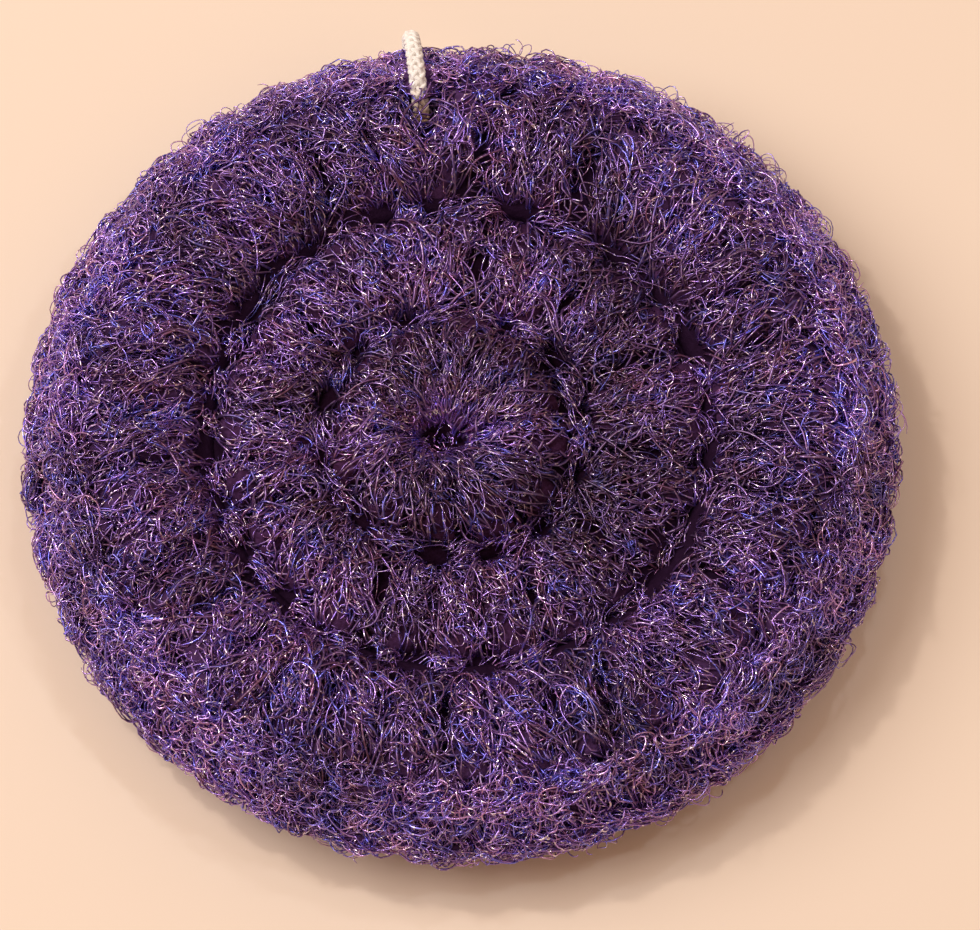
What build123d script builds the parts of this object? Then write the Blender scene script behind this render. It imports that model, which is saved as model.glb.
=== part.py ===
"""A round crocheted pot scrubber with a hanging cord, lying flat on a table.

Two discs of puffy net stitches, front and back, are each worked outwards from a start ring in three rounds. Every
round ends in a chain of top loops that the next one is worked into, and an edge round joins the discs at the rim.
A white cord goes through a parting in the stitches near the far rim, round the rim into a knot, and on into a loop.
"""

import math
import os

from build123d import *

os.makedirs("parts", exist_ok=True)

# Whole scrubber, in millimetres: +Z up, the table at zero, the rim centred on Z
thickness = 19.0
foot_flat = 0.5  # how far the lowest stitches are pressed flat by the table
layer_gap = 0.4  # between the front disc and the back disc
stitch_gap = 0.3  # between stitches side by side, and between a stitch and its chain

# Start ring, which the discs grew from a little off centre
start_ring_radius = 1.9
start_yarn_radius = 1.0
start_rise = 3.0
start_shift_x = -3.8
start_shift_y = 1.2

# Rounds, from the start ring outwards: rises are above the plane between the two discs
round_1_length = 10.8
round_1_height = 8.6
chain_1_rise = 4.6
chain_1_width = 3.4
round_2_length = 10.8
round_2_height = 6.8
chain_2_rise = 3.8
chain_2_width = 3.4
round_3_length = 11.4
chain_3_rise = 3.9
chain_3_width = 3.4
first_round_count = 12

# Edge round, whose short upright stitches hold the discs together
edge_stitch_width = 4.0
edge_stitch_height = 10.6
edge_chain_width = 2.0
edge_chain_height = 3.8

# Hanging cord
cord_radius = 1.1
cord_clearance = 0.3
cord_azimuth = 96.8  # degrees from +X, so a little left of the far side
eye_inset = 5.9  # from the edge chain's outside to the middle of the cord's eye
eye_corners = 10
knot_azimuth = -45.0  # degrees above straight out, seen along the rim
knot_radius = 2.7
knot_length = 7.6
knot_shift = 2.2  # of the knot's middle along the rim, away from the eye
strand_start = 1.2  # from the middle of the knot to the eye's ends inside it

# Shares of a stitch's full width and height at its two ends, and of its place's width at its middle
end_width_share = 0.66
end_height_share = 0.6
middle_width_share = 0.95
link_end_share = 0.4
arc_share = 0.45

mid_z = (thickness - foot_flat) / 2
round_3_height = thickness - mid_z - layer_gap / 2


def polar(radius, azimuth, z=0.0, shift=(0.0, 0.0)):
    """A point at a radius and azimuth about a disc's own centre, which is shifted from Z."""
    angle = math.radians(azimuth)
    return Vector(shift[0] + radius * math.cos(angle), shift[1] + radius * math.sin(angle), z)


def outward(azimuth):
    return polar(1, azimuth)


def along_rim(azimuth):
    """Unit direction along the rim, clockwise from above."""
    return polar(1, azimuth - 90)


def puff(stations):
    """One stitch through elliptical stations, each a plane with its half width and half height."""
    sections = []
    for plane, half_width, half_height in stations:
        with BuildSketch(plane) as station:
            Ellipse(half_width, half_height)
        sections.append(station.sketch)
    return loft(sections, mode=Mode.PRIVATE)


def wedge_half_width(radius, step):
    """Half the room that one of a round's stitches has at a radius."""
    return radius * math.tan(math.radians(step / 2)) * middle_width_share - stitch_gap / 2


def radial_stitch(azimuth, step, height, side, base, tip):
    """A tall stitch from its base to its tip, each given as radius, rise and centre shift."""
    foot = polar(base[0], azimuth, mid_z + side * base[1], base[2])
    head = polar(tip[0], azimuth, mid_z + side * tip[1], tip[2])
    middle = (foot + head) / 2
    middle.Z = mid_z + side * (layer_gap + height) / 2
    run = Vector(head.X - foot.X, head.Y - foot.Y)
    across = along_rim(azimuth)
    middle_radius = (base[0] + tip[0]) / 2
    stations = []
    for place, radius, width_share, height_share in (
        (foot, base[0], end_width_share, end_height_share),
        (middle, middle_radius, 1, 1),
        (head, tip[0], end_width_share, end_height_share),
    ):
        plane = Plane(origin=place, x_dir=across, z_dir=run)
        half_width = wedge_half_width(radius, step) * width_share
        stations.append((plane, half_width, height / 2 * height_share))
    return puff(stations)


def chain_links(count, radius, place, width, height):
    """A round's top loops, end to end along the round: the place is its height and centre shift."""
    step = 360 / count
    end_radius = radius - width / 2 * link_end_share
    half_run = end_radius * math.tan(math.radians(step / 2)) - stitch_gap / 2
    links = []
    for turn in range(count):
        azimuth = cord_azimuth + turn * step
        centre = polar(radius, azimuth, *place)
        along = along_rim(azimuth)
        stations = []
        for share, size_share in ((-1, link_end_share), (0, 1), (1, link_end_share)):
            plane = Plane(origin=centre + along * (half_run * share), x_dir=outward(azimuth), z_dir=along)
            stations.append((plane, width / 2 * size_share, height / 2 * size_share))
        links.append(puff(stations))
    return links


def edge_stitch(azimuth):
    """One short upright stitch through both discs."""
    half_width = edge_radius * math.sin(math.radians(edge_step / 2)) - stitch_gap / 2
    stations = []
    for level, size_share in ((-1, end_width_share), (0, 1), (1, end_width_share)):
        place = polar(edge_radius, azimuth, mid_z + level * edge_stitch_height / 2)
        plane = Plane(origin=place, x_dir=along_rim(azimuth), z_dir=(0, 0, 1))
        stations.append((plane, half_width * size_share, edge_stitch_width / 2 * size_share))
    return puff(stations)


def save(part, name):
    part.label = name
    export_step(part, f"parts/{name}.step")


# Radii that follow from the rounds, and how far each round's centre is still shifted
round_counts = (first_round_count, 2 * first_round_count, 3 * first_round_count)
start_outer_radius = start_ring_radius + start_yarn_radius
base_radii = []
tip_radii = []
chain_radii = []
inner_edge = start_outer_radius
for length, width in (
    (round_1_length, chain_1_width),
    (round_2_length, chain_2_width),
    (round_3_length, chain_3_width),
):
    base_radii.append(inner_edge + stitch_gap)
    tip_radii.append(base_radii[-1] + length)
    chain_radii.append(tip_radii[-1] + stitch_gap + width / 2)
    inner_edge = chain_radii[-1] + width / 2
shift_falls = [(1 - radius / chain_radii[-1]) ** 2 for radius in [0] + chain_radii]
centre_shifts = [(start_shift_x * fall, start_shift_y * fall) for fall in shift_falls]

edge_radius = inner_edge + stitch_gap + edge_stitch_width / 2
edge_chain_radius = edge_radius + edge_stitch_width / 2 + stitch_gap + edge_chain_width / 2
rim_radius = edge_chain_radius + edge_chain_width / 2
edge_count = round_counts[-1]
edge_step = 360 / edge_count

# The cord's eye clears everything at the rim that it goes round
eye_centre_radius = rim_radius - eye_inset
rim_reach = max(
    eye_inset,
    math.hypot(chain_radii[-1] - eye_centre_radius, chain_3_rise) + chain_3_width / 2,
    math.hypot(
        edge_radius - eye_centre_radius + edge_stitch_width / 2 * end_width_share,
        edge_stitch_height / 2,
    ),
)
eye_radius = rim_reach + cord_clearance + cord_radius
parting_radius = eye_centre_radius - eye_radius - cord_radius
parting = 2 * math.degrees(math.asin((cord_radius + cord_clearance) / parting_radius))

# Start rings
for side, face in ((1, "front"), (-1, "back")):
    shift_x, shift_y = centre_shifts[0]
    ring_z = mid_z + side * start_rise
    with BuildPart() as start_ring:
        with BuildSketch(Plane(origin=(shift_x, shift_y, ring_z), x_dir=(1, 0, 0), z_dir=(0, -1, 0))):
            with Locations((start_ring_radius, 0)):
                Circle(start_yarn_radius)
        revolve(axis=Axis((shift_x, shift_y, ring_z), (0, 0, 1)))
    save(start_ring.part, f"{face}_start_ring")

# Rounds of tall stitches, each with its chain: the back's last round is what the scrubber stands on
rises = (start_rise, chain_1_rise, chain_2_rise, chain_3_rise)
heights = (round_1_height, round_2_height, round_3_height)
chain_widths = (chain_1_width, chain_2_width, chain_3_width)
for side, face in ((1, "front"), (-1, "back")):
    for index, count in enumerate(round_counts):
        last = index == len(round_counts) - 1
        step = (360 - parting) / count if last else 360 / count
        first = cord_azimuth + (parting + step) / 2 if last else cord_azimuth
        base = (base_radii[index], rises[index], centre_shifts[index])
        tip = (tip_radii[index], rises[index + 1], centre_shifts[index + 1])
        with BuildPart() as stitches:
            add(
                [
                    radial_stitch(first + turn * step, step, heights[index], side, base, tip)
                    for turn in range(count)
                ]
            )
            if last and side < 0:
                split(bisect_by=Plane.XY, keep=Keep.TOP)
                foot_face = stitches.faces().sort_by(Axis.Z)[0]
                print("foot", [round(value, 3) for value in foot_face.center()], round(foot_face.area, 1))
        save(stitches.part, f"{face}_round_{index + 1}")

        place = (mid_z + side * rises[index + 1], centre_shifts[index + 1])
        width = chain_widths[index]
        with BuildPart() as chain:
            add(chain_links(count, chain_radii[index], place, width, width))
        save(chain.part, f"{face}_chain_{index + 1}")

# Edge round, and its chain round the outside
with BuildPart() as edge_round:
    add([edge_stitch(cord_azimuth + turn * edge_step) for turn in range(edge_count)])
save(edge_round.part, "edge_round")

with BuildPart() as edge_chain:
    add(chain_links(edge_count, edge_chain_radius, (mid_z,), edge_chain_width, edge_chain_height))
save(edge_chain.part, "edge_chain")


def cord_point(right, out, z):
    """A point of the cord's route: right along the rim and out from Z at the cord's azimuth."""
    return outward(cord_azimuth) * out + along_rim(cord_azimuth) * right + Vector(0, 0, z)


def eye_point(radius, angle):
    """A point about the middle of the eye: the angle is above straight out, in degrees."""
    turn = math.radians(angle)
    return cord_point(0, eye_centre_radius + radius * math.cos(turn), mid_z + radius * math.sin(turn))


def cord_tube(points):
    """Sweeps the cord along straight runs joined by arcs, and prints what the arcs and the volume come to."""
    runs = [points[place + 1] - points[place] for place in range(len(points) - 1)]
    radii = []
    for before, after in zip(runs, runs[1:]):
        half_turn = math.radians(before.get_angle(after)) / 2
        radii.append(arc_share * min(before.length, after.length) / math.tan(half_turn))
    with BuildLine() as route:
        FilletPolyline(*points, radius=radii)
    with BuildSketch(Plane(origin=points[0], z_dir=runs[0])) as section:
        Circle(cord_radius)
    sweep(section.sketch, path=route.line)
    length = sum(edge.length for edge in route.edges())
    print("runs", [round(run.length, 1) for run in runs])
    print("radii", [round(radius, 1) for radius in radii], "length", round(length, 1))
    return math.pi * cord_radius**2 * length


# The eye goes from the knot over the rim, down through the parting, under the rim and back to the knot
knot_reach = rim_reach + cord_clearance + knot_radius
free_turn = math.degrees(math.acos(eye_radius / knot_reach))
corner_turn = (360 - 2 * free_turn) / eye_corners
corner_radius = eye_radius / math.cos(math.radians(corner_turn / 2))
eye_corner_points = [
    eye_point(corner_radius, knot_azimuth + free_turn + (corner + 1 / 2) * corner_turn)
    for corner in range(eye_corners)
]
knot_entry = eye_point(knot_reach, knot_azimuth)
eye_start = knot_entry + (eye_corner_points[0] - knot_entry).normalized() * strand_start
eye_end = knot_entry + (eye_corner_points[-1] - knot_entry).normalized() * strand_start
with BuildPart() as cord_eye:
    eye_volume = cord_tube([eye_start, *eye_corner_points, eye_end])
print("eye volume", round(cord_eye.part.volume, 1), "of", round(eye_volume, 1))
save(cord_eye.part, "cord_eye")

# The loop lies slack on the table, close behind the rim and partly under it
loop_route = [
    cord_point(*place)
    for place in (
        (3.4, 56.5, 2.6),
        (7.0, 57.8, 1.8),
        (12.2, 57.3, 1.3),
        (18.0, 55.7, 1.2),
        (23.6, 53.5, 1.15),
        (28.2, 51.4, 1.2),
        (31.9, 48.8, 1.2),
        (33.7, 45.0, 1.15),
        (32.8, 40.7, 1.2),
        (29.5, 37.8, 1.2),
        (25.1, 37.4, 1.15),
        (20.2, 40.4, 1.2),
        (14.6, 44.0, 1.25),
        (9.6, 47.6, 1.3),
        (6.0, 50.9, 1.6),
        (3.4, 53.6, 2.4),
    )
]
with BuildPart() as cord_loop:
    loop_volume = cord_tube(loop_route)
print("loop volume", round(cord_loop.part.volume, 1), "of", round(loop_volume, 1))
save(cord_loop.part, "cord_loop")

# The knot, an oval bead of wound cord with its long way along the rim
knot_centre = knot_entry + along_rim(cord_azimuth) * knot_shift
with BuildPart() as cord_knot:
    with BuildSketch(Plane(origin=knot_centre, x_dir=along_rim(cord_azimuth), z_dir=(0, 0, 1))):
        Ellipse(knot_length / 2, knot_radius)
        split(bisect_by=Plane.XZ, keep=Keep.TOP)
    revolve(axis=Axis(knot_centre, along_rim(cord_azimuth)))
save(cord_knot.part, "cord_knot")
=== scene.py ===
"""The visual model of a round crocheted pot scrubber, dressed over its CAD frame."""

import math

import bpy
import numpy as np
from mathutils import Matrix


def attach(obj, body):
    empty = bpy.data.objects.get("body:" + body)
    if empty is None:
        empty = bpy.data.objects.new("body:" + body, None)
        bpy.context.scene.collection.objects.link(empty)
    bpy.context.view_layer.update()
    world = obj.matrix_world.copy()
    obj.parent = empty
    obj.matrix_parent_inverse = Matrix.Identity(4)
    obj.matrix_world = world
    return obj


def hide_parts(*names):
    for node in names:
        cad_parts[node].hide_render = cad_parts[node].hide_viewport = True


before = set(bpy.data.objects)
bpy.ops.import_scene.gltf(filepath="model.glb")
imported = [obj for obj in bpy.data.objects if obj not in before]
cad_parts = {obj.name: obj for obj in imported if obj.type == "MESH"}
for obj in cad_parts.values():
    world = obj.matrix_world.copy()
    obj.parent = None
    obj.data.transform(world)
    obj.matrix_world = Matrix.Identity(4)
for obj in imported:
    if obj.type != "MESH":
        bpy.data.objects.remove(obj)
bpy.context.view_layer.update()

# START RINGS
# Each disc of the scrubber grew from a small pulled-up ring of the net yarn, a little off the middle.
# The yarn is a curled tube of shiny nylon filaments, so every part of it is built from loose curled filaments
# round a core where they lie too close together to see into; the core's near-black colour is painted shade.
mid_height = 9.25
start_shift = np.array([-2.4, -0.9])
outer_chain_radius = 46.2
filament_radius = 0.12


class Finish:
    """A value in a finish's node tree: arithmetic on it adds Math nodes, and node() adds any other node."""

    def __init__(self, tree, socket=None):
        self.tree = tree
        self.socket = socket

    def node(self, kind, settings=(), inputs=(), output=0):
        """Adds a node: its settings are set first, and then the values or links of its sockets."""
        added = self.tree.nodes.new(kind)
        for name, value in dict(settings).items():
            if name == "stops":
                ramp = added.color_ramp
                while len(ramp.elements) < len(value):
                    ramp.elements.new(0.5)
                for element, (place, colour) in zip(ramp.elements, value):
                    element.position = place
                    element.color = (*colour, 1)
            else:
                setattr(added, name, value)
        for name, value in dict(inputs).items():
            if isinstance(value, Finish):
                self.tree.links.new(value.socket, added.inputs[name])
            else:
                added.inputs[name].default_value = value
        return Finish(self.tree, added.outputs[output])

    def maths(self, operation, first, second):
        """Adds a Math node, with a value or a number for each of its two sockets."""
        return self.node("ShaderNodeMath", {"operation": operation}, {0: first, 1: second})

    def __add__(self, other):
        return self.maths("ADD", self, other)

    def __sub__(self, other):
        return self.maths("SUBTRACT", self, other)

    def __rsub__(self, other):
        return self.maths("SUBTRACT", other, self)

    def __mul__(self, other):
        return self.maths("MULTIPLY", self, other)

    __radd__ = __add__
    __rmul__ = __mul__


def new_finish(name):
    """An empty material's tree, with the socket that its shader goes to."""
    material = bpy.data.materials.new(name)
    material.use_nodes = True
    material.node_tree.nodes.clear()
    output = material.node_tree.nodes.new("ShaderNodeOutputMaterial")
    return material, Finish(material.node_tree), output.inputs["Surface"]


def ranged(value, low, high, first=0.0, last=1.0):
    """A value's range from low to high, spread from first to last and held at both ends."""
    limits = {"Value": value, "From Min": low, "From Max": high, "To Min": first, "To Max": last}
    return value.node("ShaderNodeMapRange", {"clamp": True}, limits)


def yarn_finish(name, colours, roughness, painted_glint_colour):
    """Nylon filament, each with its own dye shade and with flat mirror-like stretches between duller ones.

    The flat stretches are also mixed towards a pale glint colour, a painted highlight. The brightness varies
    at random in broad patches. The yarn is made paler at the middle of the scrubber, which is painted light,
    and towards its rim, painted light for light through the thin filaments there, and darker in its hollow,
    which is painted shade.
    """
    material, tree, surface = new_finish(name)
    shade = tree.node("ShaderNodeAttribute", {"attribute_name": "shade"}, output=2)
    place = tree.node("ShaderNodeTexCoord", output=3)
    patches = tree.node("ShaderNodeTexNoise", inputs={"Vector": place, "Scale": 350.0, "Detail": 2.0})
    middle = tree.node("ShaderNodeVectorMath", {"operation": "LENGTH"}, {0: place}, output=1)
    rimwards = ranged(middle, 0.03, 0.054)
    mixed = shade * 0.55 + patches + rimwards * 0.08 - 0.3
    dye = tree.node(
        "ShaderNodeValToRGB",
        {"stops": [(0.25 + 0.5 * step / (len(colours) - 1), colour) for step, colour in enumerate(colours)]},
        {"Fac": mixed},
    )
    # The flat stretches get more metal and less roughness, and their base colour is mixed towards the glint
    # colour: a painted highlight.
    flat_and_glint_noise = tree.node("ShaderNodeTexNoise", inputs={"Vector": place, "Scale": 1700.0, "Detail": 1.0})
    flat = ranged(flat_and_glint_noise, 0.58, 0.67)
    bright = tree.node(
        "ShaderNodeMix", {"data_type": "RGBA"}, {"Factor": flat * 0.76, "A": dye, "B": (*painted_glint_colour, 1)}, output=2
    )
    # Broad random patches vary the yarn's brightness; the rise towards the rim is painted light, for light
    # through the thin filaments there.
    regions = tree.node("ShaderNodeTexNoise", inputs={"Vector": place, "Scale": 75.0, "Detail": 1.0})
    level = ranged(regions + rimwards * 0.12, 0.36, 0.66, 0.66, 1.25)
    # Brighter at the middle of the scrubber: painted light.
    centre = ranged(middle, 0.0195, 0.0125, 1.0, 2.15)
    # Darker in the hollow: painted shade.
    hollow_middle = (0.0175, -0.0125, 0.016)
    off_hollow = tree.node(
        "ShaderNodeVectorMath", {"operation": "DISTANCE"}, {0: place, 1: hollow_middle}, output=1
    )
    hollow = ranged(off_hollow, 0.005, 0.014, 0.62, 1.0)
    tone_and_painted_light = level * centre * hollow
    bright = tree.node("ShaderNodeVectorMath", {"operation": "SCALE"}, {0: bright, "Scale": tone_and_painted_light})
    bright = tree.node("ShaderNodeVectorMath", {"operation": "MINIMUM"}, {0: bright, 1: (0.98, 0.98, 0.98)})
    shader = tree.node(
        "ShaderNodeBsdfPrincipled",
        inputs={
            "Base Color": bright,
            "Roughness": roughness - flat * 0.05,
            "Metallic": flat * 0.1 + 0.88,
            "IOR": 1.6,
            "Coat Weight": 0.5,
            "Coat Roughness": 0.15,
            "Coat IOR": 1.6,
        },
    )
    tree.tree.links.new(shader.socket, surface)
    return material


def core_finish(name, colour, paler):
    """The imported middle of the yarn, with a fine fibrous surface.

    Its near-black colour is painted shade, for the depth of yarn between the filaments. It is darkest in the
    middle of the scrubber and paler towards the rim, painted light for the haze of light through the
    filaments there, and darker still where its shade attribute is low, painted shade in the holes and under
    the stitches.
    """
    material, tree, surface = new_finish(name)
    place = tree.node("ShaderNodeTexCoord", output=3)
    fibres = tree.node(
        "ShaderNodeTexNoise", inputs={"Vector": place, "Scale": 1400.0, "Detail": 4.0, "Roughness": 0.7}
    )
    middle = tree.node("ShaderNodeVectorMath", {"operation": "LENGTH"}, {0: place}, output=1)
    rimwards = ranged(middle, 0.026, 0.048)
    unshaded = tree.node("ShaderNodeAttribute", {"attribute_name": "shade"}, output=2)
    shade = tree.node(
        "ShaderNodeMix",
        {"data_type": "RGBA"},
        {"Factor": rimwards, "A": (*colour, 1), "B": (*paler, 1)},
        output=2,
    )
    # Low shade values darken the core: painted shade in the holes and under the stitches.
    painted_hole_shade = unshaded * 0.8 + 0.2
    shade = tree.node("ShaderNodeVectorMath", {"operation": "SCALE"}, {0: shade, "Scale": painted_hole_shade})
    streaks = ranged(fibres, 0.4, 0.75)
    shader = tree.node(
        "ShaderNodeBsdfPrincipled",
        inputs={
            "Base Color": tree.node(
                "ShaderNodeMix",
                {"data_type": "RGBA", "blend_type": "ADD"},
                {"Factor": streaks * unshaded * 0.6, "A": shade, "B": (*paler, 1)},
                output=2,
            ),
            "Roughness": fibres * 0.2 + 0.75,
            "Specular IOR Level": 0.0,
            "Normal": tree.node(
                "ShaderNodeBump", inputs={"Strength": 0.8, "Distance": 0.0004, "Height": fibres}
            ),
        },
    )
    tree.tree.links.new(shader.socket, surface)
    return material


plum = (0.23, 0.085, 0.23)
violet = (0.185, 0.09, 0.43)
mauve = (0.34, 0.185, 0.49)
blue_violet = (0.15, 0.14, 0.7)
# The last colour given is the flat stretches' glint colour, a painted highlight.
filament_finish = yarn_finish(
    "net_filament", [plum, violet, mauve, violet, blue_violet], 0.22, (1.0, 0.83, 0.98)
)
# The core colours are near-black painted shade, paler towards the rim as painted light.
painted_shade_core_finish = core_finish("core_yarn_painted_shade", (0.034, 0.01, 0.03), (0.07, 0.03, 0.1))


def put(name, points, faces, finish, node=None, body="scrubber", shades=None, spots=None):
    """A mesh piece from points in millimetres and faces, one array of faces for each number of corners."""
    mesh = bpy.data.meshes.new(name)
    corners = np.concatenate([group.ravel() for group in faces]).astype(np.int32)
    sizes = np.concatenate([np.full(len(group), group.shape[1]) for group in faces])
    starts = np.concatenate([[0], np.cumsum(sizes)[:-1]]).astype(np.int32)
    mesh.vertices.add(len(points))
    mesh.vertices.foreach_set("co", (np.asarray(points) * 0.001).astype(np.float32).ravel())
    mesh.loops.add(len(corners))
    mesh.loops.foreach_set("vertex_index", corners)
    mesh.polygons.add(len(sizes))
    mesh.polygons.foreach_set("loop_start", starts)
    mesh.update(calc_edges=True)
    mesh.polygons.foreach_set("use_smooth", np.full(len(sizes), True))
    if shades is not None:
        mesh.attributes.new("shade", "FLOAT", "POINT").data.foreach_set("value", shades.astype(np.float32))
    if spots is not None:
        mesh.uv_layers.new(name="OFBake").data.foreach_set("uv", spots.astype(np.float32).ravel())
    mesh.materials.append(finish)
    piece = bpy.data.objects.new(name, mesh)
    bpy.context.scene.collection.objects.link(piece)
    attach(piece, body)
    if node:
        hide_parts(node)
    return piece


def filaments(name, lines, node, seed, radius=filament_radius, finish=filament_finish):
    """Closed three-sided filaments along the lines, an array of lines by points by three.

    Each has its own dye shade, and its own strip of a UV map named OFBake.
    """
    chance = np.random.default_rng(seed)
    count, length = lines.shape[:2]
    along = np.gradient(lines, axis=1)
    along /= np.linalg.norm(along, axis=2, keepdims=True) + 1e-9
    side = np.zeros_like(lines)
    turn = np.cross(along[:, 0], chance.normal(size=(count, 3)))
    for place in range(length):
        turn = turn - along[:, place] * np.sum(turn * along[:, place], axis=1, keepdims=True)
        turn /= np.linalg.norm(turn, axis=1, keepdims=True) + 1e-9
        side[:, place] = turn
    other = np.cross(along, side)
    thick = radius * chance.uniform(0.8, 1.15, (count, 1, 1, 1)) * np.ones((1, length, 1, 1))
    thick[:, [0, -1]] *= 0.5
    angle = np.arange(3) * math.tau / 3
    ring = np.cos(angle)[:, None] * side[:, :, None] + np.sin(angle)[:, None] * other[:, :, None]
    points = (lines[:, :, None] + ring * thick).reshape(-1, 3)
    first = (np.arange(count)[:, None, None] * length + np.arange(length - 1)[None, :, None]) * 3
    edge = np.arange(3)[None, None, :]
    after = (edge + 1) % 3
    walls = np.stack([first + edge, first + after, first + after + 3, first + edge + 3], axis=-1)
    walls = walls.reshape(-1, 4)
    ends = np.arange(count) * length * 3
    caps = np.concatenate(
        [
            ends[:, None] + np.array([2, 1, 0]),
            ends[:, None] + (length - 1) * 3 + np.array([0, 1, 2]),
        ]
    )
    columns = max(1, round(math.sqrt(count / 6)))
    rows = math.ceil(count / columns)
    strip = np.arange(count)
    left = (strip % columns / columns)[:, None, None]
    low = (strip // columns / rows)[:, None, None]
    end_gap, side_gap = 0.03, 0.05
    near = np.arange(length - 1)[None, :, None] / (length - 1) * (1 - 2 * end_gap) + end_gap
    far = near + (1 - 2 * end_gap) / (length - 1)
    floor = edge / 3 * (1 - 2 * side_gap) + side_gap
    roof = floor + (1 - 2 * side_gap) / 3
    corner_u = np.stack(np.broadcast_arrays(near, near, far, far), axis=-1)[:, :, None, :]
    corner_u = np.broadcast_to(corner_u[:, :, 0], (1, length - 1, 1, 4)) / columns + left[..., None]
    corner_v = np.stack(np.broadcast_arrays(floor, roof, roof, floor), axis=-1) / rows + low[..., None]
    shape = (count, length - 1, 3, 4)
    walls_spots = np.stack(
        [np.broadcast_to(corner_u, shape), np.broadcast_to(corner_v, shape)], axis=-1
    ).reshape(-1, 2)
    middle_v = low[:, 0, 0] + 0.5 / rows
    cap_spots = np.concatenate(
        [np.stack([left[:, 0, 0] + end / columns, middle_v], axis=-1) for end in (end_gap, 1 - end_gap)]
    ).repeat(3, axis=0)
    shades = chance.beta(1.6, 1.9, count).repeat(length * 3)
    spots = np.concatenate([walls_spots, cap_spots])
    return put(name, points, [walls, caps], finish, node, shades=shades, spots=spots)


def smooth_value(share, first, middle, last):
    """A value that runs smoothly from a stitch's base through its middle to its tip."""
    left = 1 - share
    return first * left * (1 - 2 * share) + middle * 4 * share * left + last * share * (2 * share - 1)


class Stitches:
    """Puffy stitches of one kind: their line from base to tip, and how wide and tall they are along it."""

    def __init__(self, base, middle, tip, across, up, widths, heights, crown=1.0):
        self.base, self.middle, self.tip = (np.asarray(part, float) for part in (base, middle, tip))
        self.across, self.up = np.asarray(across, float), np.asarray(up, float)
        self.widths, self.heights, self.crown = widths, heights, crown

    def place(self, which, share, angle, scale, pinch):
        """Points at a share of the way along each stitch, at an angle round it from its top."""
        share = share[..., None]
        angle = angle[..., None]
        scale = scale[..., None]
        centre = smooth_value(
            share, self.base[which][:, None], self.middle[which][:, None], self.tip[which][:, None]
        )
        fullness = np.sin(np.pi * np.clip(share, 0.0, 1.0)) ** 0.5
        narrow = 1 - pinch * (1 - fullness)
        wide = smooth_value(share, *self.widths) * narrow * scale
        tall = smooth_value(share, *self.heights) * narrow * scale
        across = self.across[which][:, None]
        up = self.up[which][:, None]
        rise = np.sign(np.cos(angle)) * np.abs(np.cos(angle)) ** self.crown
        return centre + across * (wide * np.sin(angle)) + up * (tall * rise)


def curled(
    stitches,
    each,
    seed,
    points,
    spread=1.7,
    depth=0.5,
    curl=1.0,
    waves=(3.4, 5.4),
    stray=0.5,
    drawn=(0.5, 0.8),
    stretches=(0.7, 1.0),
):
    """Curled filaments over the outer side of each stitch, which they run along for a stretch of its length.

    A share of them strays into the next stitch, and their curls are drawn tighter near its base and its tip.
    """
    pinch = 0.2
    end_dive = 2.2
    chance = np.random.default_rng(seed)
    count = len(stitches.base) * each
    which = np.arange(count) % len(stitches.base)
    along = np.linspace(0, 1, points)[None, :]
    stretch = chance.uniform(*stretches, (count, 1))
    share = -0.06 + chance.uniform(0, 1, (count, 1)) * (1.12 - stretch) + stretch * along
    angle = chance.uniform(-spread, spread, (count, 1)) + chance.normal(0, 0.35, (count, 1)) * (share - 0.5)
    scale = 1.08 - depth * chance.uniform(0, 1, (count, 1)) ** 1.2 + 0 * share
    lines = stitches.place(which, share, angle, scale, pinch)
    beside = (which + np.sign(angle[:, 0]).astype(int)) % len(stitches.base)
    over = stitches.place(beside, share, -angle, scale, pinch)
    leaving = np.where(chance.uniform(size=(count, 1)) < stray, chance.uniform(0.3, 1.0, (count, 1)), 0.0)
    away = np.where(chance.uniform(size=(count, 1)) < 0.5, share, 1 - share)
    leaving = (leaving * np.clip(away * 1.6 - 0.5, 0, 1) ** 1.5)[..., None]
    lines = lines * (1 - leaving) + over * leaving
    run = stitches.tip[which] - stitches.base[which]
    run /= np.linalg.norm(run, axis=1, keepdims=True)
    across = stitches.across[which][:, None]
    up = stitches.up[which][:, None]
    radial = across * np.sin(angle)[..., None] + up * np.cos(angle)[..., None]
    tangent = across * np.cos(angle)[..., None] - up * np.sin(angle)[..., None]
    starts = chance.uniform(0, math.tau, (4, count, 1))
    wander = 0.08 * np.sin(math.tau * along * chance.uniform(0.8, 1.8, (count, 1)) + starts[1])
    wave = chance.uniform(*waves, (count, 1)) * math.tau * (along + wander) + starts[0]
    swell = 1 + 0.35 * np.sin(math.tau * along * chance.uniform(0.7, 2.2, (count, 1)) + starts[2])
    size = curl * chance.uniform(0.7, 1.3, (count, 1)) * swell
    size = size * (drawn[0] + (1 - drawn[0]) * np.sin(np.pi * np.clip(share, 0, 0.5)))
    size = size * (drawn[1] + (1 - drawn[1]) * np.sin(np.pi * np.clip(1 - share, 0, 0.5)))
    plane = np.linalg.qr(chance.normal(size=(count, 3, 2)))[0] * np.array([1.1, 0.5, 1.1])[:, None]
    turning = [
        (plane[:, row, 0, None] * np.cos(wave) + plane[:, row, 1, None] * np.sin(wave)) * size
        for row in range(3)
    ]
    dive = end_dive * np.clip(1 - 11 * along * (1 - along), 0, 1)
    return (
        lines
        + tangent * turning[0][..., None]
        + radial * (turning[1] - dive)[..., None]
        + run[:, None] * turning[2][..., None]
    )


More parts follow.
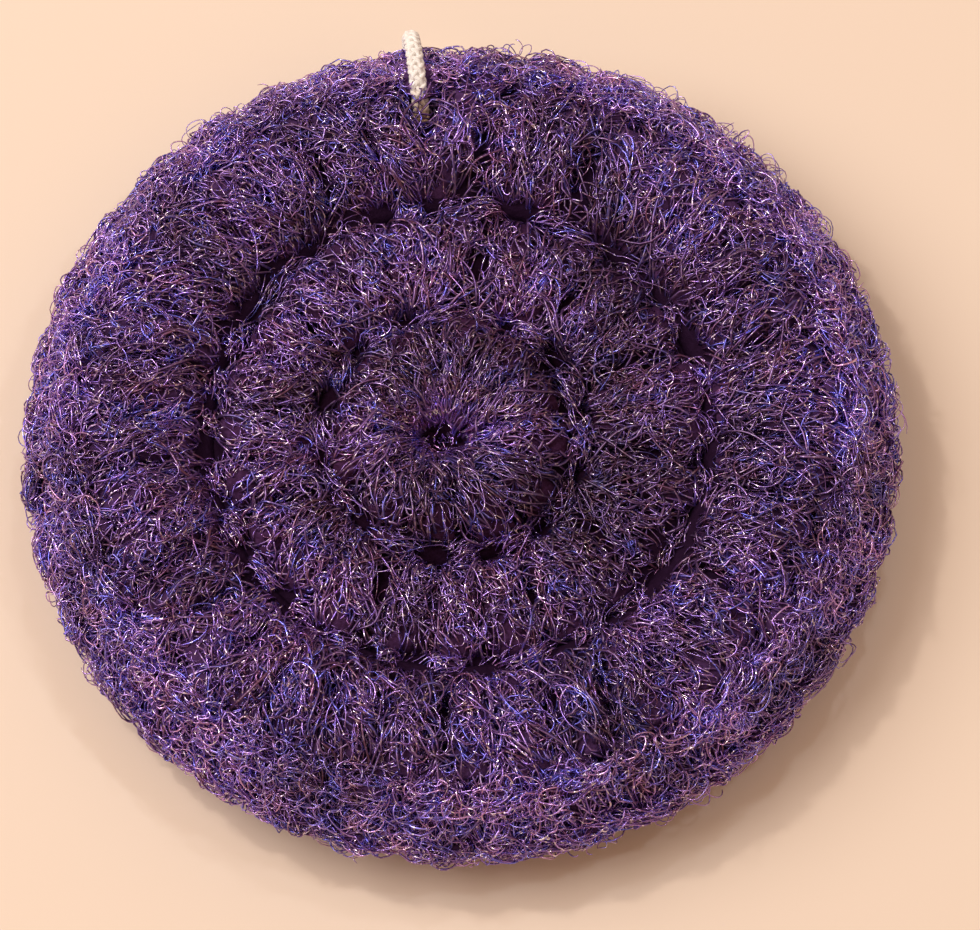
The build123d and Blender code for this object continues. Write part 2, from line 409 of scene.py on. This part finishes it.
def cores(name, stitches, share_of_size, pinch, node=None, shaped=None):
    """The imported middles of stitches, one closed puff each."""
    count = len(stitches.base)
    sections = 9
    around = 12
    share = np.linspace(0.04, 0.96, sections)[:, None] * np.ones((1, around))
    angle = np.ones((sections, 1)) * np.arange(around)[None, :] * math.tau / around
    share = np.broadcast_to(share.ravel(), (count, sections * around))
    angle = np.broadcast_to(angle.ravel(), (count, sections * around))
    scale = np.full_like(share, share_of_size)
    rings = stitches.place(np.arange(count), share, angle, scale, pinch)
    both_ends, none = np.broadcast_to([0.0, 1.0], (count, 2)), np.zeros((count, 2))
    ends = stitches.place(np.arange(count), both_ends, none, none, 0)
    points = np.concatenate([rings, ends], axis=1).reshape(-1, 3)
    shades = np.ones(len(points))
    if shaped is not None:
        parted = shaped(points)
        # Points pushed into a hole get lower shade values, which the core finish darkens: painted shade in
        # the holes.
        shades = np.clip(1 - 0.8 * np.linalg.norm(parted - points, axis=1), 0, 1)
        points = parted
    size = sections * around + 2
    start = np.arange(count)[:, None, None] * size
    level = np.arange(sections - 1)[None, :, None] * around
    step = np.arange(around)[None, None, :]
    after = (step + 1) % around
    low, high = start + level, start + level + around
    walls = np.stack([low + step, low + after, high + after, high + step], axis=-1).reshape(-1, 4)
    start = start[:, 0]
    step, after = step[0], after[0]
    last = (sections - 1) * around
    first_cap = np.broadcast_arrays(start + size - 2, start + after, start + step)
    last_cap = np.broadcast_arrays(start + size - 1, start + last + step, start + last + after)
    caps = np.concatenate([np.stack(cap, axis=-1).reshape(-1, 3) for cap in (first_cap, last_cap)])
    return put(name, points, [walls, caps], painted_shade_core_finish, node, shades=shades)


def mat(name, radii, heights, shift, node):
    """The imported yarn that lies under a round's stitches: a flat closed ring, its edges rounded."""
    around = 120
    steps = 12
    turn = np.arange(around)[:, None] * math.tau / around
    angle = np.arange(steps)[None, :] * math.tau / steps
    radius = (radii[0] + radii[1]) / 2 + (radii[1] - radii[0]) / 2 * np.cos(angle)
    height = (heights[0] + heights[1]) / 2 + (heights[1] - heights[0]) / 2 * np.sin(angle)
    points = np.stack(
        [shift[0] + radius * np.cos(turn), shift[1] + radius * np.sin(turn), height + 0 * turn], axis=-1
    ).reshape(-1, 3)
    here = np.arange(around)[:, None] * steps
    there = (np.arange(around)[:, None] + 1) % around * steps
    step = np.arange(steps)[None, :]
    after = (step + 1) % steps
    walls = np.stack([here + step, there + step, there + after, here + after], axis=-1).reshape(-1, 4)
    # A low shade value makes the finish darken it: painted shade under the stitches.
    return put(name, points, [walls], painted_shade_core_finish, node, shades=np.full(len(points), 0.15))


def polar(radius, azimuth, height, shift=(0.0, 0.0)):
    """Points at radii and azimuths about a round's own centre."""
    angle = np.radians(np.asarray(azimuth, float))
    radius, height = np.broadcast_to(radius, angle.shape), np.broadcast_to(height, angle.shape)
    return np.stack([shift[0] + radius * np.cos(angle), shift[1] + radius * np.sin(angle), height], axis=-1)


def centre_shift(radius):
    """How far a round's centre is off the scrubber's, fading out at its last chain."""
    return start_shift * (1 - min(radius, outer_chain_radius) / outer_chain_radius) ** 2


for side, face in ((1, "front"), (-1, "back")):
    azimuths = np.arange(6) * 60.0
    ring = Stitches(
        polar(1.9, azimuths - 30, mid_height + side * 3.0, start_shift),
        polar(2.1, azimuths, mid_height + side * 3.2, start_shift),
        polar(1.9, azimuths + 30, mid_height + side * 3.0, start_shift),
        polar(1, azimuths, 0),
        np.tile([0.0, 0.0, side], (6, 1)),
        (0.9, 1.0, 0.9),
        (0.9, 1.0, 0.9),
    )
    cores(f"{face}_start_ring_core", ring, 0.9, 0.1, f"{face}_start_ring")
    lines = curled(ring, 14, 11 + side, points=14, curl=0.25, spread=2.2, waves=(0.6, 1.4))
    filaments(f"{face}_start_ring_yarn", lines, f"{face}_start_ring", 12 + side)

# ROUNDS OF TALL STITCHES
# Three rounds of tall crochet stitches of the same yarn make each disc. Each is drawn up through the round
# before, where the yarn parts round a dark hole, so a stitch is pinched at both ends and swells between them,
# and its filaments run from its base to its tip.
cord_azimuth = 96.8
rounds = (
    {
        "count": 12,
        "base": 0.5,
        "tip": 15.2,
        "rises": (0.4, 4.0),
        "height": 8.6,
        "crown": 0.45,
        "each": (58, 22),
        "waves": (2.8, 4.2),
        "drawn": (0.12, 0.6),
        "curl": 0.9,
        "filament": 0.12,
    },
    {
        "count": 24,
        "base": 16.9,
        "tip": 30.2,
        "rises": (3.4, 3.4),
        "height": 6.8,
        "crown": 0.6,
        "each": (54, 20),
        "waves": (2.6, 4.0),
        "drawn": (0.3, 0.5),
        "curl": 1.1,
        "filament": 0.13,
    },
    {
        "count": 36,
        "base": 31.7,
        "tip": 46.6,
        "rises": (2.8, 5.2),
        "height": 9.4,
        "crown": 0.7,
        "each": (62, 22),
        "waves": (2.8, 4.2),
        "drawn": (0.3, 1.0),
        "curl": 1.2,
        "filament": 0.14,
    },
)
parting = 4.0
hole_chance = np.random.default_rng(31)
hole_azimuths = (
    np.array([112, 135, 163, 191, 226, 262, 287, 311, 342, 372, 398, 425]),
    np.array(
        [97, 108, 127, 148, 162, 173, 184, 198, 211, 226, 237, 249, 260, 275]
        + [295, 307, 321, 340, 354, 367, 383, 396, 411, 436]
    ),
    cord_azimuth + 5 + 10 * np.arange(36) + hole_chance.normal(0, 1.2, 36),
)
wide_holes = ((112, 163, 262, 287, 311, 398), (108, 148, 184, 226, 260, 275, 321, 383, 436), ())
hole_radii = (16.4, 31.0, 47.6)
hole_sizes = ((1.1, 1.6), (1.1, 1.6), (0.6, 0.7))
hole_depth = 2.4
centre_hole = (0.0, 0.0, 2.3, 1.4, 2.8)
cord_hole = (43.0, cord_azimuth, 3.0, 1.9, hole_depth)
holes = [centre_hole, cord_hole]
for radius, azimuths, wide, across in zip(hole_radii, hole_azimuths, wide_holes, hole_sizes):
    for azimuth in azimuths:
        size = hole_chance.uniform(0.75, 1.1) * (1.0 if azimuth in wide else 0.5)
        holes.append((radius, azimuth, across[0] * size, across[1] * size, hole_depth))
dent_middle = (20.4, -12.7)
dent_width = 8.5
dent_depth = 1.3


def towards_holes(azimuths, index, share):
    """Azimuths moved a share of the way to the nearest hole of a ring of holes."""
    gaps = (hole_azimuths[index][None, :] - azimuths[:, None] + 180) % 360 - 180
    nearest = gaps[np.arange(len(azimuths)), np.abs(gaps).argmin(axis=1)]
    return azimuths + nearest * share


def round_of(values, side, index):
    """One face's round of tall stitches."""
    count = values["count"]
    last = index == 2
    step = (360 - parting) / count if last else 360 / count
    azimuths = cord_azimuth + (parting / 2 if last else 0) + (np.arange(count) + 0.5) * step
    starts = cord_azimuth + (np.arange(count) + 0.5) * 360 / count
    if index:
        starts = towards_holes(starts, index - 1, 0.5)
    chance = np.random.default_rng(40 + index)
    base_shift, tip_shift = centre_shift(values["base"]), centre_shift(values["tip"])
    sway = chance.normal(0, 0.07, (2, count)) * step
    base = polar(values["base"], starts + sway[0], mid_height + side * values["rises"][0], base_shift)
    reached = values["tip"] + chance.normal(0, 0.5, count)
    tip = polar(reached, azimuths + sway[1], mid_height + side * values["rises"][1], tip_shift)
    middle = (base + tip) / 2
    middle[:, 2] = mid_height + side * (0.2 + values["height"] / 2) + side * chance.normal(-0.2, 0.35, count)
    reach = math.tan(math.radians(step / 2))
    halfway = (values["base"] + values["tip"]) / 2
    widths = [radius * reach for radius in (values["base"], halfway, values["tip"])]
    tall = values["height"] / 2
    return Stitches(
        base,
        middle,
        tip,
        polar(1, azimuths - 90, 0),
        np.tile([0.0, 0.0, side], (count, 1)),
        (widths[0], widths[1] * 1.15, widths[2] * 1.05),
        (tall * 0.7, tall, tall * 0.7),
        values["crown"],
    )


mid_eye = 48.6
eye_radius = 7.679
along_rim = polar(1.0, cord_azimuth - 90, 0.0)
out_of_rim = polar(1.0, cord_azimuth, 0.0)
cord_way = 1.7
under_knot = 6.1
pressed_below = 0.8
lowest = 0.25


def settle(lines):
    """Presses filaments flat that would go through the table, and parts them round the cord and its swing."""
    right = lines @ along_rim
    out = lines @ out_of_rim - mid_eye
    height = lines[..., 2] - mid_height
    reach = np.hypot(out, height) + 1e-9
    gap = np.hypot(reach - eye_radius, right) + 1e-9
    away = np.maximum(cord_way - gap, 0) * 0.9 * (gap < cord_way) / gap
    outwards = (reach - eye_radius) * away / reach
    by_knot = (right > -3.6) & (right < 6.6) & (out > 0)
    by_eye_ends = (np.abs(right) < 1.8) & (out > -1.6)
    swept = (by_knot | by_eye_ends) & (height > -6.5) & (reach > under_knot)
    outwards = np.where(swept, np.minimum(outwards, under_knot / reach - 1), outwards)
    lines = lines + along_rim * (right * away * ~swept)[..., None] + out_of_rim * (out * outwards)[..., None]
    lines[..., 2] += height * outwards
    below = np.minimum(lines[..., 2] - pressed_below, 0)
    give = pressed_below - lowest
    lines[..., 2] = np.where(below < 0, lowest + give * np.exp(below / give), lines[..., 2])
    return lines


def part_yarn(lines, side, deeper=1.0, aside=0.6):
    """Pushes filaments aside and down where they would cross a hole, though every third one crosses it."""
    shape = lines.shape
    points = lines.reshape(-1, 3).copy()
    crossing = np.arange(len(points)) // shape[-2] % 3 == 0 if len(shape) > 2 else np.zeros(len(points), bool)
    for radius, azimuth, radial_size, rim_size, depth in holes:
        middle = polar(radius, azimuth, 0.0, centre_shift(radius))
        out = polar(1.0, azimuth, 0.0)
        away = points - middle
        radial = away[:, 0] * out[0] + away[:, 1] * out[1]
        sideways = away[:, 1] * out[0] - away[:, 0] * out[1]
        near = (np.abs(radial) < 3 * radial_size) & (np.abs(sideways) < 3 * rim_size)
        radial, sideways = radial[near] / radial_size, sideways[near] / rim_size
        far = np.hypot(radial, sideways) + 1e-6
        push = np.exp(-(far**2)) * aside * np.where(crossing[near], 0.2, 1.0)
        points[near, 0] += push * (radial * radial_size * out[0] - sideways * rim_size * out[1]) / far
        points[near, 1] += push * (radial * radial_size * out[1] + sideways * rim_size * out[0]) / far
        sinking = np.exp(-(far**2)) * depth * deeper * np.where(crossing[near], 0.5, 1.0)
        points[near, 2] -= side * sinking
    if side > 0:
        off_dent = np.hypot(points[:, 0] - dent_middle[0], points[:, 1] - dent_middle[1]) / dent_width
        points[:, 2] -= dent_depth * np.exp(-(off_dent**2)) * np.clip((points[:, 2] - mid_height) / 4, 0, 1)
    return points.reshape(shape)


def yarn_pieces(node, lines, batch, seed, radius=filament_radius):
    """A node's filaments, shared out between pieces that are small enough to export."""
    for part in range(math.ceil(len(lines) / batch)):
        some = lines[part * batch : (part + 1) * batch]
        filaments(f"{node}_yarn_{part + 1}", some, node, seed + part, radius)


# The deep yarn's colours are darker, duller copies of the filament colours: painted shade of the layer under
# the top filaments.
deep_painted_shade_finish = yarn_finish(
    "deep_filament_painted_shade",
    [(0.17, 0.06, 0.13), (0.14, 0.06, 0.24), (0.22, 0.11, 0.28), (0.13, 0.1, 0.42)],
    0.4,
    (0.45, 0.32, 0.5),
)
deep_radius = 0.2
points_of_piece = 30000
for side, face in ((1, "front"), (-1, "back")):
    for index, values in enumerate(rounds):
        stitches = round_of(values, side, index)
        node = f"{face}_round_{index + 1}"
        cores(f"{node}_core", stitches, 0.78, 0.25, node, lambda points: part_yarn(points, side, 1.8))
        shift = centre_shift(values["base"])
        reach = (max(values["base"] - 1.5, 0.4), values["tip"] + 2.0)
        mat(f"{node}_mat", reach, (mid_height, mid_height + side * values["height"] * 0.62), shift, node)
        each = values["each"][0 if side > 0 else 1]
        points = 52 if side > 0 else 28
        waves = values["waves"] if side > 0 else (1.6, 2.6)
        seed = 100 + 10 * index + side
        lines = curled(stitches, each, seed, points, curl=values["curl"], waves=waves, drawn=values["drawn"])
        lines = settle(part_yarn(lines, side))
        yarn_pieces(node, lines, points_of_piece // points, 200 + 10 * index, values["filament"])
        if side > 0:
            lines = curled(
                stitches,
                36,
                150 + index,
                26,
                curl=1.1,
                waves=(1.6, 2.5),
                spread=2.4,
                depth=0.35,
                stray=1.0,
                stretches=(0.9, 1.05),
            )
            lines[..., 2] -= 0.4
            lines = settle(part_yarn(lines, side, 1.3, 0.15))
            filaments(f"{node}_deep_yarn", lines, node, 160 + index, deep_radius, deep_painted_shade_finish)

# CHAINS OF TOP LOOPS
# Each round ends in a chain of V-shaped loops of the same yarn, which lie along the round. The next round is
# worked into them, and the edge round into the last ones.
chains = (
    {"count": 12, "radius": 16.0, "rise": 3.7, "width": 3.0, "each": (30, 14)},
    {"count": 24, "radius": 30.8, "rise": 3.0, "width": 3.0, "each": (30, 14)},
    {"count": 36, "radius": 47.8, "rise": 4.9, "width": 5.0, "each": (38, 18)},
)
lines_of_piece = 1100
for side, face in ((1, "front"), (-1, "back")):
    for index, values in enumerate(chains):
        starts = hole_azimuths[index]
        ends = np.append(starts[1:], starts[0] + 360)
        azimuths = (starts + ends) / 2
        shift = centre_shift(values["radius"])
        level = mid_height + side * values["rise"]
        links = Stitches(
            polar(values["radius"], starts, level - side * 0.6, shift),
            polar(values["radius"] * 1.01, azimuths, level + side * 0.5, shift),
            polar(values["radius"], ends, level - side * 0.6, shift),
            polar(1, azimuths, 0),
            np.tile([0.0, 0.0, side], (values["count"], 1)),
            (values["width"] * 0.4, values["width"] * 0.6, values["width"] * 0.4),
            (values["width"] * 0.36, values["width"] * 0.5, values["width"] * 0.36),
        )
        node = f"{face}_chain_{index + 1}"
        cores(f"{node}_core", links, 0.6, 0.3, node, lambda points: part_yarn(points, side, 2.0))
        each = values["each"][0 if side > 0 else 1]
        points = 28 if side > 0 else 20
        lines = curled(links, each, 300 + 10 * index + side, points=points, waves=(1.2, 2.2))
        yarn_pieces(node, settle(part_yarn(lines, side)), lines_of_piece, 400 + 10 * index)

# EDGE ROUND
# Short upright stitches of the same yarn, 36 in all, go through the last chains of both discs and hold the
# discs together at the rim.
edge_count = 36
edge_azimuths = cord_azimuth + np.arange(edge_count) * 10.0
edge = Stitches(
    polar(45.6, edge_azimuths, mid_height + 7.6),
    polar(51.0, edge_azimuths, mid_height),
    polar(45.6, edge_azimuths, mid_height - 7.6),
    polar(1, edge_azimuths - 90, 0),
    polar(1, edge_azimuths, 0),
    (3.4, 4.8, 3.4),
    (1.6, 2.4, 1.6),
)
cores("edge_round_core", edge, 0.7, 0.2, "edge_round")
lines = curled(edge, 20, 505, points=26, curl=1.1, waves=(1.4, 2.3), spread=2.0, depth=0.35, stray=1.0)
filaments("edge_round_deep_yarn", settle(part_yarn(lines, 1)), "edge_round", 506, deep_radius, deep_painted_shade_finish)
lines = settle(part_yarn(curled(edge, 54, 501, points=40, depth=0.4, waves=(2.2, 3.3)), 1))
for part in range(4):
    filaments(f"edge_round_yarn_{part + 1}", lines[part::4], "edge_round", 510 + part, 0.14)

# EDGE CHAIN AND ITS FRINGE
# The edge round's own chain of top loops lies round the outside. The yarn is loosest there, so loops of its
# filament stand out all round the rim.
links = Stitches(
    polar(52.8, edge_azimuths - 5, mid_height),
    polar(53.4, edge_azimuths, mid_height),
    polar(52.8, edge_azimuths + 5, mid_height),
    np.tile([0.0, 0.0, 1.0], (edge_count, 1)),
    polar(1, edge_azimuths, 0),
    (1.6, 2.4, 1.6),
    (0.9, 1.3, 0.9),
)
cores("edge_chain_core", links, 0.5, 0.2, "edge_chain")
lines = curled(links, 28, 601, points=30, depth=0.3, waves=(1.3, 2.4))
filaments("edge_chain_yarn", lines, "edge_chain", 602)
rim_half_height = 7.4


def fringe(count, seed, nearest, widest, curl, points):
    """Loose loops of filament round the rim, which thin out outwards."""
    chance = np.random.default_rng(seed)
    share = np.linspace(0, 1, points)[None, :]
    reach = chance.beta(1.5, 1.7, (count, 1))
    level = chance.uniform(-1, 1, (count, 1)) + 0.25 * chance.normal(size=(count, 1)) * (share - 0.5)
    start = chance.uniform(0, 360, (count, 1))
    between = 0.5 - 0.5 * np.cos(np.radians(start - cord_azimuth) * edge_count)
    rounded = 2.8 * level**2
    radius = nearest + between * 0.6 + widest * reach * (1 - 0.4 * level**2) - rounded
    azimuth = start + chance.choice([-1, 1], (count, 1)) * share * chance.uniform(1.0, 3.8, (count, 1))
    lines = polar(radius, azimuth + 0 * share, mid_height + level * rim_half_height)
    wave = share * chance.uniform(1.4, 2.6, (count, 1)) * math.tau
    size = curl * chance.uniform(0.6, 1.2, (count, 1))
    starts = chance.uniform(0, math.tau, (4, count, 1))
    outwards = polar(1, azimuth + 0 * share, 0)
    round_rim = polar(1, azimuth + 90 + 0 * share, 0)
    swing = size * (np.cos(wave + starts[0]) + 0.2 * np.cos(2.1 * wave + starts[1]))
    slide = size * chance.uniform(0.5, 1.4, (count, 1)) * np.sin(wave + starts[0])
    lift = size * (np.cos(wave * 0.8 + starts[2]) + 0.2 * np.cos(1.8 * wave + starts[3]))
    lines = lines + outwards * swing[..., None] * 0.8 + round_rim * slide[..., None]
    lines[..., 2] += lift
    return settle(lines)


# The rim filaments' paler colours are painted light, for light through the thin filaments there.
rim_painted_light_finish = yarn_finish(
    "rim_filament", [(0.6, 0.31, 0.57), (0.46, 0.26, 0.73), (0.28, 0.24, 0.93)], 0.26, (1.0, 0.86, 1.0)
)
for part in range(2):
    lines = fringe(1100, 700 + part, nearest=49.4, widest=4.0, curl=1.3, points=28)
    filaments(f"rim_loops_{part + 1}", lines, "edge_chain", 710 + part, 0.13, rim_painted_light_finish)
for part in range(2):
    lines = fringe(1000, 720 + part, nearest=50.2, widest=4.6, curl=1.1, points=28)
    filaments(f"rim_fringe_{part + 1}", lines, "edge_chain", 730 + part, 0.08, rim_painted_light_finish)
lines = fringe(60, 740, nearest=51.0, widest=3.4, curl=1.9, points=40)
filaments("rim_stray_loops", lines, "edge_chain", 741, 0.07, rim_painted_light_finish)

# HANGING CORD
# One braided white cotton cord goes through a parting in the stitches and round the rim into a knot, and on
# into a slack loop that lies on the table behind the rim.

def cord_places(places):
    """Points of the cord's route: along the rim, out from the middle, and height."""
    return [along_rim * right + out_of_rim * out + np.array([0, 0, height]) for right, out, height in places]


cord_finish, tree, surface = new_finish("braided_cotton")
place = tree.node("ShaderNodeTexCoord", output=3)
fibres = tree.node(
    "ShaderNodeTexNoise", inputs={"Vector": place, "Scale": 2500.0, "Detail": 5.0, "Roughness": 0.7}
)
# The cord is tinted brown where it goes in at the top of the rim: partly soiling, partly painted shade.
inwards = ranged(tree.node("ShaderNodeSeparateXYZ", inputs={0: place}, output=1), 0.0462, 0.0425)
upwards = ranged(tree.node("ShaderNodeSeparateXYZ", inputs={0: place}, output=2), 0.009, 0.012)
stops = [(0.3, (0.76, 0.71, 0.65)), (0.6, (0.96, 0.94, 0.92))]
cotton = tree.node("ShaderNodeValToRGB", {"stops": stops}, {"Fac": fibres})
shader = tree.node(
    "ShaderNodeBsdfPrincipled",
    inputs={
        "Base Color": tree.node(
            "ShaderNodeMix",
            {"data_type": "RGBA", "blend_type": "MULTIPLY"},
            {"Factor": inwards * upwards, "A": cotton, "B": (0.72, 0.5, 0.33, 1)},
            output=2,
        ),
        "Roughness": 0.8,
        "Normal": tree.node("ShaderNodeBump", inputs={"Strength": 0.5, "Distance": 0.0002, "Height": fibres}),
    },
)
tree.tree.links.new(shader.socket, surface)


def route_line(name, points):
    """The cord's smooth centreline through its route, in millimetres."""
    curve = bpy.data.curves.new(name, "CURVE")
    curve.dimensions = "3D"
    curve.resolution_u = 16
    spline = curve.splines.new("NURBS")
    spline.points.add(len(points) - 1)
    for point, place in zip(spline.points, points):
        point.co = (*(float(value) / 1000 for value in place), 1)
    spline.order_u = 3
    spline.use_endpoint_u = True
    holder = bpy.data.objects.new(name, curve)
    mesh = bpy.data.meshes.new_from_object(holder)
    line = np.array([vertex.co for vertex in mesh.vertices]) * 1000
    bpy.data.objects.remove(holder)
    bpy.data.meshes.remove(mesh)
    return line


def square_to(line):
    """Two directions square to a line at each of its points, carried along it without a twist."""
    along = np.gradient(line, axis=0)
    along /= np.linalg.norm(along, axis=1, keepdims=True)
    turn = np.cross(along[0], [0.31, 0.42, 0.85])
    turns = []
    for direction in along:
        turn = turn - direction * (turn @ direction)
        turn /= np.linalg.norm(turn)
        turns.append(turn)
    return np.array(turns), np.cross(along, turns)


def tubes(lines, radius, sides=8):
    """Points and faces of closed round tubes along the lines."""
    points, walls, caps = [], [], []
    angle = (np.arange(sides) * math.tau / sides)[:, None]
    for line in lines:
        start = sum(len(part) for part in points)
        turns, others = square_to(line)
        rings = line[:, None] + radius * (np.cos(angle) * turns[:, None] + np.sin(angle) * others[:, None])
        points.append(rings.reshape(-1, 3))
        for level in range(len(line) - 1):
            for step in range(sides):
                after = (step + 1) % sides
                low = start + level * sides
                walls.append([low + step, low + after, low + sides + after, low + sides + step])
        caps.append([start + step for step in reversed(range(sides))])
        caps.append([start + (len(line) - 1) * sides + step for step in range(sides)])
    return np.concatenate(points), np.array(walls), np.array(caps)


cord_radius = 1.1
strand_radius = 0.3
core_radius = 0.62
pitch = 5.2
sample_step = 0.22


def braid(line):
    """A round braid of eight strands over and under each other, its core, and the line that it follows."""
    steps = np.linalg.norm(np.diff(line, axis=0), axis=1)
    run = np.concatenate([[0], np.cumsum(steps)])
    even = np.linspace(0, run[-1], int(run[-1] / sample_step))
    line = np.stack([np.interp(even, run, line[:, axis]) for axis in range(3)], axis=1)
    turns, others = square_to(line)
    strands = []
    for hand in (1, -1):
        for strand in range(4):
            angle = strand * math.tau / 4 + hand * math.tau * even / pitch
            lift = cord_radius * (0.68 + hand * 0.13 * np.cos(4 * math.tau * even / pitch))
            outwards = np.cos(angle)[:, None] * turns + np.sin(angle)[:, None] * others
            strands.append(line + lift[:, None] * outwards)
    points, walls, caps = tubes(strands, strand_radius)
    core_points, core_walls, core_caps = tubes([line], core_radius)
    walls = np.concatenate([walls, core_walls + len(points)])
    caps = np.concatenate([caps, core_caps + len(points)])
    return np.concatenate([points, core_points]), [walls, caps], line


def cord_piece(name, route, node):
    """A braided length of the cord along its route, with the line that it follows."""
    points, faces, line = braid(route_line(name + "_route", route))
    piece = put(name, points, faces, cord_finish, node, "hanging_cord")
    return piece, line


knot_azimuth = -45.0
knot_reach = 9.279
end_stub = 1.2
free_turn = math.degrees(math.acos(eye_radius / knot_reach))
corner_turn = (360 - 2 * free_turn) / 10
corner_radius = eye_radius / math.cos(math.radians(corner_turn / 2))


def eye_place(radius, angle):
    """A place of the cord's route at a radius and an angle about the eye's centre."""
    turn = math.radians(angle)
    return np.array([0.0, mid_eye + radius * math.cos(turn), mid_height + radius * math.sin(turn)])


first_corner = knot_azimuth + free_turn + 0.5 * corner_turn
corners = [eye_place(corner_radius, first_corner + corner * corner_turn) for corner in range(10)]
entry = eye_place(knot_reach, knot_azimuth)
eye_ends = [
    entry + (corner - entry) / np.linalg.norm(corner - entry) * end_stub
    for corner in (corners[0], corners[-1])
]
eye, eye_line = cord_piece("hanging_cord_eye", cord_places([eye_ends[0], *corners, eye_ends[1]]), "cord_eye")
loop_places = (
    (3.4, 56.5, 2.6),
    (7.0, 56.7, 1.8),
    (12.2, 55.8, 1.3),
    (18.0, 54.0, 1.2),
    (23.6, 51.9, 1.15),
    (28.4, 49.9, 1.2),
    (32.3, 47.6, 1.2),
    (34.3, 44.4, 1.15),
    (33.2, 40.3, 1.2),
    (29.6, 37.2, 1.2),
    (25.1, 37.0, 1.15),
    (20.2, 40.2, 1.2),
    (14.6, 44.0, 1.25),
    (9.6, 47.6, 1.3),
    (6.0, 50.9, 1.6),
    (3.4, 53.6, 2.4),
)
loop, loop_line = cord_piece("hanging_cord_loop", cord_places(loop_places), "cord_loop")

wraps = 2.6
wrap_length = 5.2
wrap_radius = 1.55
share = np.linspace(0, 1, 120)[:, None]
knot_centre = cord_places([(2.2, entry[1], entry[2])])[0]
up = np.array([0, 0, 1.0])
wrap = (
    knot_centre
    + along_rim * (share - 0.5) * wrap_length
    + wrap_radius * (np.cos(share * wraps * math.tau) * out_of_rim + np.sin(share * wraps * math.tau) * up)
)
points, faces, _ = braid(wrap)
knot = put("hanging_cord_knot", points, faces, cord_finish, "cord_knot", "hanging_cord")

eye_line[0] / 1000
eye_line / 1000
loop_line[0] / 1000
loop_line / 1000

# FLOOR, LIGHT AND CAMERA
# The scrubber lies on a plain pale table under a warm even light. One large soft lamp stands to the left, and
# three small ones put the sparks on its filaments. They are a setting for it and no part of it.
floor_finish, tree, surface = new_finish("pale_table")
shader = tree.node(
    "ShaderNodeBsdfPrincipled",
    inputs={"Base Color": (0.845, 0.705, 0.585, 1), "Roughness": 0.85, "Specular IOR Level": 0.2},
)
tree.tree.links.new(shader.socket, surface)
table = bpy.data.meshes.new("table")
table.from_pydata([(-3, -3, 0), (3, -3, 0), (3, 3, 0), (-3, 3, 0)], [], [(0, 1, 2, 3)])
table.materials.append(floor_finish)
table_piece = bpy.data.objects.new("table", table)
bpy.context.scene.collection.objects.link(table_piece)

world = bpy.data.worlds.new("studio")
bpy.context.scene.world = world
world.use_nodes = True
world.node_tree.nodes["Background"].inputs["Color"].default_value = (1.0, 0.67, 0.45, 1)
world.node_tree.nodes["Background"].inputs["Strength"].default_value = 0.52


def lamp(name, azimuth, elevation, distance, size, power, colour):
    """A soft round lamp that looks at the scrubber, azimuth 0 being behind the camera and 90 to its right."""
    light = bpy.data.lights.new(name, "AREA")
    light.shape = "DISK"
    light.size = size
    light.energy = power
    light.color = colour
    holder = bpy.data.objects.new(name, light)
    turn, rise = math.radians(azimuth), math.radians(elevation)
    direction = np.array([math.sin(turn) * math.cos(rise), -math.cos(turn) * math.cos(rise), math.sin(rise)])
    holder.location = direction * distance
    holder.rotation_euler = (math.pi / 2 - rise, 0, turn)
    bpy.context.scene.collection.objects.link(holder)


warm_white, cool_white = (1.0, 0.9, 0.8), (0.8, 0.9, 1.0)
lamp("key", azimuth=262, elevation=50, distance=1.2, size=1.0, power=8.6, colour=(1.0, 1.0, 1.0))
lamp("spark", azimuth=240, elevation=58, distance=1.2, size=0.08, power=2.6, colour=warm_white)
lamp("spark_right", azimuth=100, elevation=66, distance=1.2, size=0.08, power=1.0, colour=cool_white)
lamp("spark_back", azimuth=160, elevation=66, distance=1.2, size=0.08, power=1.0, colour=cool_white)

camera = bpy.data.cameras.new("camera")
camera.sensor_width = 36
camera.lens = 208.0
eye_point = bpy.data.objects.new("camera", camera)
elevation = math.radians(68)
distance = 0.71
target = np.array([0.0036, -0.0026, 0.009])
eye_point.location = target + distance * np.array([0, -math.cos(elevation), math.sin(elevation)])
eye_point.rotation_euler = (math.pi / 2 - elevation, 0, 0)
bpy.context.scene.collection.objects.link(eye_point)
bpy.context.scene.camera = eye_point
bpy.context.scene.view_settings.view_transform = "Standard"
